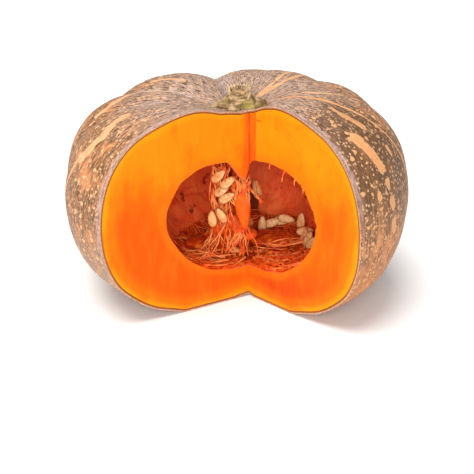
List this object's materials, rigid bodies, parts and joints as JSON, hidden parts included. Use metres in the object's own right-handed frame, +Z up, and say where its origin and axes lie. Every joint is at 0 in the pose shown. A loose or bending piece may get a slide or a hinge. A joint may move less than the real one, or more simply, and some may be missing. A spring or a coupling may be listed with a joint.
{
  "type": "cut pumpkin",
  "caption": "Ribbed grey-green pumpkin with a wide wedge cut out of its front, which shows orange flesh, the stringy hollow and its seeds.",
  "frame": {"origin": "middle of the base, on the surface that the pumpkin stands on", "axes": "+Z up along the stem; -Y towards the cut; +X to the right of someone who looks into the cut"},
  "size_m": [0.2586, 0.2283, 0.1625],
  "materials": {
    "rind": "waxy ribbed skin, grey-green with tan streaks",
    "flesh": "moist cut flesh",
    "stem": "dry corky stub",
    "pulp": "wet stringy pulp",
    "seed": "smooth pale seed coat"
  },
  "bodies": {
    "root": {"rind": "rind", "flesh": "flesh", "stem": "stem", "pulp": "pulp", "seeds_back": "seed", "seeds_hanging": "seed", "seeds_left_floor": "seed", "seeds_right_floor": "seed", "seeds_right_heap": "seed", "seeds_tassel": "seed", "seeds_under_tongue": "seed"}
  },
  "joints": []
}
